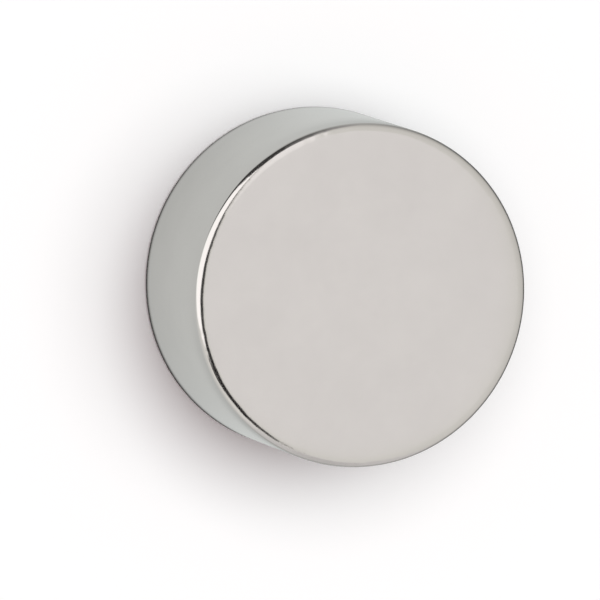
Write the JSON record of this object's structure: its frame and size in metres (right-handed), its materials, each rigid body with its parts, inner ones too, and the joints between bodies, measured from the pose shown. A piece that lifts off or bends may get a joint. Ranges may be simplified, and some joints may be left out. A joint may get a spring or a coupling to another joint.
{
  "type": "disc magnet",
  "caption": "Plain nickel plated disc magnet, half as thick as it is wide, with flat pole faces and small tumbled corners.",
  "frame": {"origin": "middle of the lower pole face, on the surface that the disc lies on", "axes": "+Z along the disc's axis, from the lower pole face to the upper one; X and Y are any two directions across it"},
  "size_m": [0.02, 0.02, 0.01],
  "materials": {
    "nickel_plate": "bright nickel plate over ground and tumbled sintered magnet alloy, with a faint even mottle"
  },
  "bodies": {
    "root": {"disc_magnet": "nickel_plate"}
  },
  "joints": []
}
